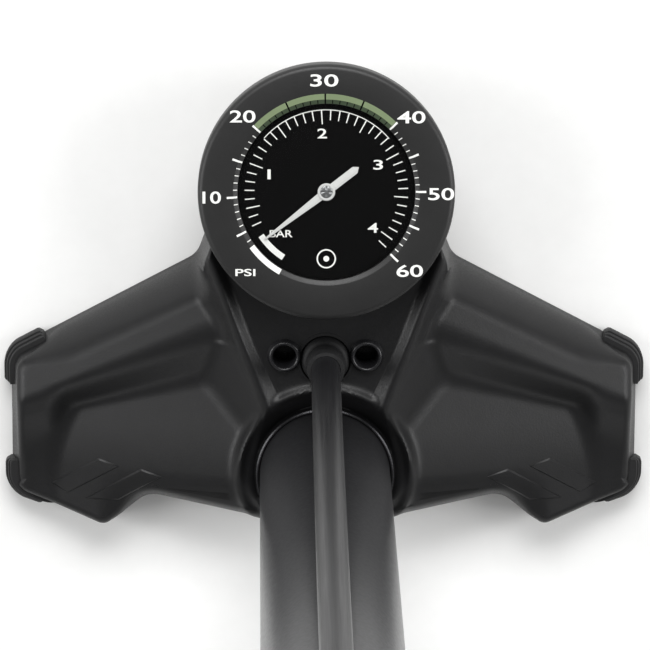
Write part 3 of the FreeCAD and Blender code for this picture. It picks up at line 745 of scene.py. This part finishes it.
def build_port_rings():
    """The lips round the hose port and the adapter sockets."""
    lip = [(9.6, 33.2), (9.6, 40.9), (9.8, 41.12), (10.9, 41.12), (11.3, 40.6), (11.3, 33.2)]
    bm = turned(lip, 96, Matrix.Translation((0, PORT_Y, 0)))
    nylon_piece("port_lip", rebuilt(bm))
    rim = [
        (4.4, 22.0), (4.4, 42.7), (4.7, 43.25), (5.2, 43.5), (5.7, 43.3), (6.0, 42.8),
        (6.1, 41.6), (6.6, 40.9), (6.6, 22.0),
    ]
    floor = [(0.0, 21.6), (4.5, 21.6), (4.5, 22.1), (0.0, 22.1)]
    for side, name in ((-1, "left"), (1, "right")):
        spot = Matrix.Translation((side * SOCKET_X, SOCKET_Y, 0))
        bm = turned(rim, 64, spot)
        turned(floor, 64, spot, bm)
        piece(
            "adapter_socket_" + name, rebuilt(bm), gloss_nylon(),
            replaces=["base_shell"], crease=60
        )


def build_wing_marks():
    """Two pairs of raised lozenges on each wing's lower corner."""
    marks = [
        [(-106, -9.7), (-87.5, 1.8), (-79.1, -0.9), (-99.5, -13.7)],
        [(-92.6, -14.9), (-71, -1.1), (-62.6, -3.8), (-79.5, -15.2)],
    ]
    for side, name in ((1, "left"), (-1, "right")):
        bm = bmesh.new()
        for corners in marks:
            spots = [(side * x, y) for x, y in corners]
            face = bm.faces.new([bm.verts.new((x, y, 0)) for x, y in spots])
            face.normal_update()
            bmesh.ops.inset_region(bm, faces=[face], thickness=0.9, use_boundary=True)
        bmesh.ops.recalc_face_normals(bm, faces=bm.faces)
        tops = [f for f in bm.faces if not any(v.is_boundary for v in f.verts)]
        raised = {v for f in tops for v in f.verts}
        for vert in bm.verts:
            vert.co.z = 1.0 if vert in raised else 0.0
        bmesh.ops.subdivide_edges(bm, edges=bm.edges, cuts=11, use_grid_fill=True)
        for vert in bm.verts:
            x, y, up = vert.co
            vert.co.z = float(top_height(x, y)) - 0.1 + 0.6 * up
        skirt = [e for e in bm.edges if e.is_boundary]
        grown = bmesh.ops.extrude_edge_only(bm, edges=skirt)["geom"]
        for vert in grown:
            if isinstance(vert, bmesh.types.BMVert):
                vert.co.z -= 1.2
        bottom = [e for e in bm.edges if e.is_boundary]
        bmesh.ops.holes_fill(bm, edges=bottom, sides=0)
        bmesh.ops.recalc_face_normals(bm, faces=bm.faces)
        nylon_piece("wing_marks_" + name, bm, crease=28)


def build_bumpers():
    """Stepped rubber strips round the wings' outer corners."""
    spots = outline_spots(0.9)
    out = -inward(spots)
    section = [
        (-3.0, 1.5), (1.9, 1.5), (2.6, 2.2), (2.6, 6.4), (2.3, 6.8), (1.75, 6.8),
        (1.65, 8.4), (1.35, 8.8), (0.75, 8.8), (0.65, 10.2), (0.3, 10.5), (-3.0, 10.5),
    ]
    spans = {"front": (28.2, 60.0, 107.6), "rear": (-40.0, -1.7, 108.6)}
    for side, side_name in ((-1, "left"), (1, "right")):
        for end, (y0, y1, x0) in spans.items():
            inside = (spots[:, 1] > y0) & (spots[:, 1] < y1) & (side * spots[:, 0] > x0)
            picked = np.nonzero(inside)[0]
            gap = np.nonzero(np.diff(picked) > 1)[0]
            if len(gap):
                picked = np.roll(picked, -(gap[0] + 1))
            stations = []
            count = len(picked)
            for step, i in enumerate(picked):
                near_end = min(step, count - 1 - step) / 2
                swell = max(0.3, math.sqrt(1 - max(0.0, 1 - near_end) ** 2))
                ring = []
                for depth, z in section:
                    depth = depth * swell if depth > 0 else depth
                    x, y = spots[i] + out[i] * depth
                    ring.append((x, y, z))
                stations.append(ring)
            bm = swept(bmesh.new(), stations)
            bmesh.ops.recalc_face_normals(bm, faces=bm.faces)
            name = "bumper_%s_%s" % (end, side_name)
            piece(
                name + "_strip", bm, moulded_rubber(), replaces=[name], crease=40
            )


def build_floor_pads():
    """Five domed rubber feet."""
    bm = bmesh.new()
    foot = [(0, 0), (5.6, 0), (6.6, 0.4), (7.0, 1.2), (7.0, 3.5), (0, 3.5)]
    for x, y in FEET:
        turned(foot, 40, Matrix.Translation((x, y, 0)), bm)
    piece("floor_feet", rebuilt(bm), moulded_rubber(), replaces=["floor_pads"])


def build_tray_ribs():
    """Stiffening ribs and foot bosses under the base."""
    bm = bmesh.new()
    boss = [(7.0, 3.6), (7.0, 1.9), (9.2, 1.9), (9.6, 2.3), (10.0, 11.2), (7.0, 11.2)]
    for x, y in FEET:
        turned(boss, 40, Matrix.Translation((x, y, 0)), bm)
    for side in (-1, 1):
        for x in (52, 78):
            block(bm, (side * x - 1, -17, 3), (side * x + 1, 50, 11.2))
        low, high = sorted((side * 36, side * 115))
        block(bm, (low, 9, 3.2), (high, 11, 11.2))
    nose_rib = [(31, 2.6), (33.5, 2.6), (34, 11.2), (30.5, 11.2)]
    turned(nose_rib, 72, Matrix.Translation((0, 110, 0)), bm)
    turned([(22, 2.6), (24, 2.6), (24.4, 11.2), (21.6, 11.2)], 72, Matrix(), bm)
    nylon_piece("tray_ribs", rebuilt(bm))


# ---------------------------------------------------------------- the gauge


DIAL_LEVEL = -3.3


def ring_surface(radius):
    """The height of the bezel's face: flat, then down a cone to the dial."""
    return -max(0.0, 35.0 - radius) / 1.65


def dial_surface(radius):
    """The height of the dial, which is flat at any radius."""
    return DIAL_LEVEL


def band(bm, radii, start, end, surface, lift):
    """A strip of ink that follows a turned surface between two angles."""
    steps = max(1, round(abs(end - start) / 1.5))
    row = [bm.verts.new((r, 0, surface(r) + lift)) for r in radii]
    edges = [bm.edges.new(pair) for pair in zip(row, row[1:])]
    turn = Matrix.Rotation(math.radians(start), 4, "Z")
    bmesh.ops.transform(bm, matrix=turn, verts=row)
    bmesh.ops.spin(
        bm, geom=row + edges, cent=(0, 0, 0), axis=(0, 0, 1),
        angle=math.radians(end - start), steps=steps, use_merge=False
    )


def tick(bm, radii, angle, width, surface, lift):
    """One graduation, as wide as asked at the middle of its length."""
    half = math.degrees(width / 2 / ((radii[0] + radii[-1]) / 2))
    band(bm, radii, angle - half, angle + half, surface, lift)


def thickened(bm, thickness):
    """Faces the ink upwards and gives it a body."""
    bmesh.ops.remove_doubles(bm, verts=bm.verts, dist=1e-4)
    bm.normal_update()
    down = [f for f in bm.faces if f.normal.z < 0]
    bmesh.ops.reverse_faces(bm, faces=down)
    bmesh.ops.solidify(bm, geom=bm.faces, thickness=thickness)
    return bm


def letters(bm, text, x, y, wide, high, level, weight=0.012):
    """Adds a word as mesh, centred on a spot and fitted to a size."""
    curve = bpy.data.curves.new("letters", "FONT")
    curve.body = text
    curve.offset = weight
    curve.resolution_u = 6
    holder = placed("letters", curve)
    graph = bpy.context.evaluated_depsgraph_get()
    mesh = bpy.data.meshes.new_from_object(holder.evaluated_get(graph))
    spots = np.array([v.co for v in mesh.vertices])
    low, high_corner = spots.min(0), spots.max(0)
    middle = (low + high_corner) / 2
    scale = Matrix.Diagonal(
        (wide / (high_corner[0] - low[0]), high / (high_corner[1] - low[1]), 1, 1)
    )
    centred = Matrix.Translation((-middle[0], -middle[1], 0))
    mesh.transform(Matrix.Translation((x, y, level)) @ scale @ centred)
    bm.from_mesh(mesh)
    bpy.data.objects.remove(holder)
    bpy.data.curves.remove(curve)
    bpy.data.meshes.remove(mesh)


def psi_angle(value):
    """Where a pressure in psi stands on the outer scale, in degrees."""
    marks = ((0, 236.5), (5, 206.0), (10, 183.0), (20, 137.6), (30, 90.8), (40, 45.0), (60, -44.0))
    values, angles = zip(*marks)
    return float(np.interp(value, values, angles))


def bar_angle(value):
    """Where a pressure in bar stands on the dial's scale, in degrees."""
    marks = (
        (0.3, 204.9), (0.5, 191.8), (1.0, 159.5), (2.0, 93.5), (3.0, 28.2), (4.0, -36.1),
        (4.1, -43),
    )
    values, angles = zip(*marks)
    return float(np.interp(value, values, angles))


def build_ring_markings():
    """The outer scale's figures, graduations and working range."""
    lift = shape().marking_lift
    white = bmesh.new()
    slope = (33.5, 35.0)
    across = (33.5, 35.0, 37.4)
    for value in range(3, 61):
        if value % 5 == 0:
            if value not in (25, 30, 35):
                tick(white, across, psi_angle(value), 0.75, ring_surface, lift)
        elif not 20 < value < 40:
            tick(white, slope, psi_angle(value), 0.36, ring_surface, lift)
    band(white, (33.5, 34.4, 35.0, 35.6), 216, 240, ring_surface, lift)
    figures = [
        ("30", -0.9, 42.2, 10.5, 4.6),
        ("20", -31.4, 28.7, 9.6, 4.6),
        ("40", 31.7, 28.4, 10.5, 4.6),
        ("10", -43.0, -1.8, 6.9, 4.6),
        ("50", 43.0, -0.5, 9.7, 4.6),
        ("60", 31.3, -29.5, 9.9, 4.6),
        ("PSI", -30.4, -30.1, 7.5, 2.7),
    ]
    flat = bmesh.new()
    for text, x, y, wide, high in figures:
        letters(flat, text, x, y, wide, high, lift)
    mesh = bpy.data.meshes.new("figures")
    flat.to_mesh(mesh)
    flat.free()
    white.from_mesh(mesh)
    bpy.data.meshes.remove(mesh)
    gauge_piece("outer_scale", thickened(white, 0.04), white_ink(), "pointer_white")
    pale = bmesh.new()
    dark = bmesh.new()
    black = bmesh.new()
    low, high = psi_angle(40) + 0.8, psi_angle(20) - 0.8
    band(pale, (35.05, 37.2), low, high, ring_surface, lift * 0.6)
    band(dark, (33.45, 34.95), low, high, ring_surface, lift * 0.6)
    for value in range(21, 40):
        if value % 5 == 0:
            tick(black, (33.45, 35.0, 37.25), psi_angle(value), 0.6, ring_surface, lift)
        else:
            tick(black, slope, psi_angle(value), 0.36, ring_surface, lift)
    gauge_piece("range_band", thickened(pale, 0.02), green_ink(), "pointer_white")
    # The band's strip on the bezel's slope takes a darker copy of the green ink: painted shade.
    gauge_piece("range_band_slope", thickened(dark, 0.02), green_ink_painted_shade(), "pointer_white")
    gauge_piece("range_ticks", thickened(black, 0.04), dial_ink(), "dial_black")


def build_dial_markings():
    """The dial's own scale, its figures and a small ring with a dot."""
    lift = shape().marking_lift
    bm = bmesh.new()
    for tenth in range(3, 42):
        value = tenth / 10
        inner = 25.5 if tenth % 5 == 0 else 27.0
        tick(bm, (inner, 30.7), bar_angle(value), 0.42, dial_surface, lift)
    band(bm, (30.7, 31.05), 40.4, 139.2, dial_surface, lift)
    band(bm, (28.4, 30.7), 214, 237, dial_surface, lift)
    band(bm, (3.1, 3.65), 0, 359.9, dial_surface, lift)
    mark_y = -25.3
    mark = Matrix.Translation((0, mark_y, 0))
    bmesh.ops.transform(
        bm, matrix=mark, verts=[v for v in bm.verts if math.hypot(v.co.x, v.co.y) < 4.0]
    )
    figures = [
        ("1", -21.5, 6.6, 1.2, 3.7),
        ("2", -1.6, 22.0, 3.6, 3.7),
        ("3", 19.4, 10.2, 3.6, 3.7),
        ("4", 17.5, -13.6, 3.9, 3.7),
        ("BAR", -17.0, -15.8, 8.6, 2.7),
    ]
    for text, x, y, wide, high in figures:
        letters(bm, text, x, y, wide, high, dial_surface(0) + lift)
    gauge_piece("dial_scale", thickened(bm, 0.03), white_ink(), "pointer_white")
    spot = Matrix.Translation((0, mark_y, DIAL_LEVEL + 0.01))
    dot = turned([(0, 0), (1.1, 0), (1.1, 0.04), (0, 0.04)], 40, spot)
    gauge_piece("dial_dot", rebuilt(dot), white_ink(), "pointer_white")


def build_gauge_body():
    """The housing, the bezel with its sloped inner lip, the dial and the lens."""
    profile = [
        (33.35, -5.0), (33.35, -1.0), (34.95, -0.03), (35.15, 0.0), (46.1, 0.0),
        (46.9, -0.16), (47.6, -0.6), (48.1, -1.3), (48.3, -2.2), (48.3, -11.8),
        (48.1, -12.0), (47.05, -12.0), (47.05, -5.0),
    ]
    bm = rebuilt(turned(profile, 256))
    gauge_piece("bezel_ring", bm, satin_abs(), "bezel_plastic", "gauge_bezel", crease=24)
    profile = [
        (44.5, -5.0), (44.5, -15.5), (0.0, -15.5), (0.0, -18.0), (46.2, -18.0),
        (47.0, -17.2), (47.0, -5.4), (46.8, -5.0),
    ]
    bm = rebuilt(turned(profile, 192))
    gauge_piece("gauge_cup", bm, satin_abs(), "bezel_plastic", "gauge_housing")
    plate_radius = 33.33
    profile = [
        (1.6, -4.1), (plate_radius, -4.1), (plate_radius, DIAL_LEVEL), (1.6, DIAL_LEVEL)
    ]
    bm = rebuilt(turned(profile, 192))
    gauge_piece("dial_plate", bm, dial_ink(), "dial_black", "gauge_dial")
    profile = [(0, -1.6), (plate_radius, -1.6), (plate_radius, -1.0), (0, -1.0)]
    bm = rebuilt(turned(profile, 192))
    gauge_piece("lens_disc", bm, clear_lens(), "lens", "gauge_lens")


def build_pointer():
    """The tapered pointer, its hub and a cross-slotted screw."""
    bm = bmesh.new()
    outline = [
        (29.4, 0.35), (3, 1.5), (-13.6, 1.5), (-15.4, 0), (-13.6, -1.5), (3, -1.5),
        (29.4, -0.35),
    ]
    rest_angle = 217.7
    face = bm.faces.new([bm.verts.new((x, y, -2.9)) for x, y in outline])
    grown = bmesh.ops.extrude_face_region(bm, geom=[face])["geom"]
    for part in grown:
        if isinstance(part, bmesh.types.BMVert):
            part.co.z = -2.35
    aimed = Matrix.Rotation(math.radians(rest_angle), 3, "Z")
    bmesh.ops.rotate(bm, cent=(0, 0, 0), matrix=aimed, verts=bm.verts)
    rebuilt(bm, 40, 0.12, 2)
    white = pointer_enamel(), "pointer_white"
    gauge_piece("pointer_blade", bm, *white, "gauge_pointer", "needle")
    collar = [(2.3, -2.9), (3.3, -2.9), (3.3, -2.2), (3.0, -1.95), (2.5, -1.95), (2.3, -2.2)]
    bm = turned(collar, 64)
    gauge_piece("pointer_collar", rebuilt(bm), *white, "pointer_hub", "needle")
    bm = turned([(0, -2.6), (2.3, -2.6), (2.3, -2.15), (1.7, -1.85), (0, -1.75)], 48)
    rebuilt(bm)
    tops = [f for f in bm.faces if f.normal.z > 0.5]
    for vert in {v for f in tops for v in f.verts}:
        if min(abs(vert.co.x), abs(vert.co.y)) < 0.28 and vert.co.xy.length < 1.75:
            vert.co.z -= 0.3
    gauge_piece("pointer_screw", bm, zinc_steel(), "steel", "pointer_hub", "needle")


# ---------------------------------------------------------------- the barrel


def build_barrel():
    """The barrel, its collar ring at the base and the cap at the top."""
    tube = [(23.5, 24.0), (24.9, 24.0), (25.0, 24.2), (25.0, 599.8), (24.9, 600.0), (23.5, 600.0)]
    piece(
        "barrel_tube", rebuilt(turned(tube, 192)), painted_steel(),
        replaces=["barrel"]
    )
    ring = [
        (25.1, 34.0), (26.7, 34.0), (26.7, 36.9), (26.5, 37.6), (26.0, 38.0), (25.5, 37.9),
        (25.2, 37.5), (25.1, 37.0),
    ]
    piece(
        "collar_bead", rebuilt(turned(ring, 192)), anodised_ring(),
        replaces=["collar_ring"]
    )
    cap = [
        (25.05, 574.0), (30.2, 574.0), (31.0, 574.8), (31.0, 612.4), (30.2, 614.6),
        (26.2, 621.0), (24.6, 622.0), (10.0, 622.0), (10.0, 600.0), (25.05, 600.0),
    ]
    bm = rebuilt(turned(cap, 144))
    for low in (580.0, 606.0):
        bead = [(30.9, low), (30.9, low + 3), (31.0, low + 2.6), (31.0, low + 0.4)]
        turned(bead, 96, Matrix(), bm)
    nylon_piece("barrel_cap", rebuilt(bm), "top_cap")


# ---------------------------------------------------------------- the hose


def build_hose():
    """The rubber hose as one smooth spline, and the boot at its foot."""
    curve = bpy.data.curves.new("hose_tube", "CURVE")
    curve.dimensions = "3D"
    curve.bevel_depth = shape().hose_radius * MM
    curve.bevel_resolution = 10
    curve.use_fill_caps = True
    curve.resolution_u = 24
    spline = curve.splines.new("NURBS")
    spline.points.add(len(HOSE_ROUTE) - 1)
    for point, (x, y, z) in zip(spline.points, HOSE_ROUTE):
        point.co = (x * MM, (y + BARREL_Y) * MM, z * MM, 1.0)
    spline.order_u = 3
    spline.use_endpoint_u = True
    hose = placed("hose_tube", curve)
    curve.materials.append(extruded_rubber())
    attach(hose, "base")
    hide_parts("hose")

    boot = [
        (5.6, 37.0), (9.1, 37.0), (9.2, 41.0), (8.9, 42.2), (8.0, 43.4), (7.3, 43.9),
        (7.1, 45.0), (7.3, 46.0), (7.2, 54.2), (6.9, 54.9), (5.6, 55.0),
    ]
    bm = turned(boot, 96, Matrix.Translation((0, PORT_Y, 0)))
    piece(
        "hose_strain_relief", rebuilt(bm), moulded_rubber(),
        replaces=["hose_boot"], crease=50
    )


# ---------------------------------------------------------------- other pieces

CAD_FINISHES = {
    "air_manifold": cast_alloy,
    "check_seat": turned_brass,
    "check_ball": zinc_steel,
    "check_spring": zinc_steel,
    "barrel_foot_seal": seal_rubber,
    "rod_bush": gloss_nylon,
    "rod_wiper": seal_rubber,
    "piston": gloss_nylon,
    "piston_seal": seal_rubber,
    "piston_washer": zinc_steel,
    "piston_bolt": zinc_steel,
    "piston_rod": chrome_plate,
    "buffer_ring": seal_rubber,
    "handle_core": filled_nylon,
    "grip_left": grip_rubber,
    "grip_right": grip_rubber,
    "grip_cap_left": gloss_nylon,
    "grip_cap_right": gloss_nylon,
    "handle_screw": zinc_steel,
    "movement_frame": zinc_steel,
    "pinion_arbor": turned_brass,
    "sector_gear": turned_brass,
    "sector_pin": zinc_steel,
    "bourdon_tube": turned_brass,
    "bourdon_foot": turned_brass,
    "gauge_stem": turned_brass,
    "gauge_screws": zinc_steel,
    "hose_fitting": turned_brass,
    "hose_hook": filled_nylon,
    "dock_clamp": filled_nylon,
    "dock_screw": zinc_steel,
    "head_body": gloss_nylon,
    "head_nut": cast_alloy,
    "head_gasket": seal_rubber,
    "lever_pin": zinc_steel,
    "head_lever": lever_nylon,
    "hose_ferrule": anodised_ring,
}


def finish_cad_nodes():
    """Gives every CAD node that still shows its own surface."""
    for name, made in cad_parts.items():
        if name in CAD_FINISHES:
            made.data.materials.clear()
            made.data.materials.append(CAD_FINISHES[name]())


# ---------------------------------------------------------------- the stage


def build_stage():
    """A pale floor, soft lights and the camera over the gauge's side."""
    settings = bpy.context.scene.floor_pump_stage
    bm = bmesh.new()
    floor_radius = 9.0
    bmesh.ops.create_circle(bm, cap_ends=True, radius=floor_radius, segments=96)
    mesh = bpy.data.meshes.new("floor")
    bm.to_mesh(mesh)
    bm.free()
    floor = placed("floor", mesh)
    mesh.materials.append(
        finish("white_paper_floor", "#F2F2F1", (0.85, 0.95), grain=2.0, relief=0.001, shade=0.01)
    )

    world = bpy.data.worlds.new("room")
    bpy.context.scene.world = world
    world.use_nodes = True
    world.node_tree.nodes["Background"].inputs["Color"].default_value = (1, 1, 1, 1)
    world.node_tree.nodes["Background"].inputs["Strength"].default_value = settings.surround

    def softbox(name, place, aim, wide, deep, power):
        light = bpy.data.lights.new(name, "AREA")
        light.shape = "RECTANGLE"
        light.size = wide
        light.size_y = deep
        light.energy = power
        holder = placed(name, light)
        holder.location = place
        look = (Vector(aim) - Vector(place)).to_track_quat("-Z", "Y")
        holder.rotation_euler = look.to_euler()

    softbox("back", (0, 2.3, 1.9), (0, 0.05, 0), 2.2, 1.3, settings.back_power)
    for side, name in ((-1, "left"), (1, "right")):
        softbox(name, (side * 2.4, 0.3, 1.6), (0, 0, 0), 1.6, 1.6, settings.side_power)
    softbox("rider", (0, -2.6, 1.2), (0, 0, 0), 2.4, 0.8, settings.rider_power)

    lens = bpy.data.cameras.new("camera")
    lens.sensor_width = 36.0
    lens.lens = settings.lens
    camera = placed("camera", lens)
    right = Vector((0.9999, 0.0032, 0.01335)).normalized()
    back = Vector((-0.0132, 0.2640, 0.9644)).normalized()
    up = back.cross(right).normalized()
    turn = Matrix((right, up, back)).transposed().to_4x4()
    camera.matrix_world = Matrix.Translation(settings.camera_place) @ turn
    bpy.context.scene.camera = camera
    bpy.context.scene.view_settings.view_transform = "Standard"


# ---------------------------------------------------------------- operators


class FLOORPUMP_OT_hose(bpy.types.Operator):
    """Build the hose and its boot"""

    bl_idname = "floorpump.hose"
    bl_label = "Build Hose"

    def execute(self, context):
        build_hose()
        return {"FINISHED"}


class FLOORPUMP_OT_base(bpy.types.Operator):
    """Build the base moulding with its lips, marks, feet and ribs"""

    bl_idname = "floorpump.base"
    bl_label = "Build Base"

    def execute(self, context):
        build_base_skin()
        build_port_rings()
        build_wing_marks()
        build_tray_ribs()
        return {"FINISHED"}


class FLOORPUMP_OT_rubber(bpy.types.Operator):
    """Build the corner bumpers and the feet"""

    bl_idname = "floorpump.rubber"
    bl_label = "Build Bumpers and Feet"

    def execute(self, context):
        build_bumpers()
        build_floor_pads()
        return {"FINISHED"}


class FLOORPUMP_OT_gauge(bpy.types.Operator):
    """Build the gauge with its scales and pointer"""

    bl_idname = "floorpump.gauge"
    bl_label = "Build Gauge"

    def execute(self, context):
        build_gauge_body()
        build_ring_markings()
        build_dial_markings()
        build_pointer()
        return {"FINISHED"}


class FLOORPUMP_OT_barrel(bpy.types.Operator):
    """Build the barrel, its collar and its cap"""

    bl_idname = "floorpump.barrel"
    bl_label = "Build Barrel"

    def execute(self, context):
        build_barrel()
        return {"FINISHED"}


class FLOORPUMP_OT_finishes(bpy.types.Operator):
    """Give the remaining CAD nodes their surfaces"""

    bl_idname = "floorpump.finishes"
    bl_label = "Finish CAD Nodes"

    def execute(self, context):
        finish_cad_nodes()
        return {"FINISHED"}


class FLOORPUMP_OT_stage(bpy.types.Operator):
    """Set up the floor, the lights and the camera"""

    bl_idname = "floorpump.stage"
    bl_label = "Set Stage"

    def execute(self, context):
        build_stage()
        return {"FINISHED"}


OPERATORS = (
    FLOORPUMP_OT_hose,
    FLOORPUMP_OT_base,
    FLOORPUMP_OT_rubber,
    FLOORPUMP_OT_gauge,
    FLOORPUMP_OT_barrel,
    FLOORPUMP_OT_finishes,
    FLOORPUMP_OT_stage,
)


class FLOORPUMP_PT_panel(bpy.types.Panel):
    """Lists the pump's builders in the sidebar"""

    bl_label = "Floor Pump"
    bl_idname = "FLOORPUMP_PT_panel"
    bl_space_type = "VIEW_3D"
    bl_region_type = "UI"
    bl_category = "Floor Pump"

    def draw(self, context):
        for operator in OPERATORS:
            self.layout.operator(operator.bl_idname)


GROUPS = {
    "floor_pump_shape": FloorPumpShape,
    "floor_pump_colours": FloorPumpColours,
    "floor_pump_stage": FloorPumpStage,
}


def register():
    for cls in (*GROUPS.values(), *OPERATORS, FLOORPUMP_PT_panel):
        bpy.utils.register_class(cls)
    for name, group in GROUPS.items():
        setattr(bpy.types.Scene, name, PointerProperty(type=group))


def unregister():
    for name in GROUPS:
        delattr(bpy.types.Scene, name)
    for cls in (FLOORPUMP_PT_panel, *reversed(OPERATORS), *reversed(GROUPS.values())):
        bpy.utils.unregister_class(cls)


def main():
    register()
    bpy.ops.floorpump.stage()
    bpy.ops.floorpump.hose()
    bpy.ops.floorpump.base()
    bpy.ops.floorpump.rubber()
    bpy.ops.floorpump.gauge()
    bpy.ops.floorpump.barrel()
    bpy.ops.floorpump.finishes()


if __name__ == "__main__":
    main()
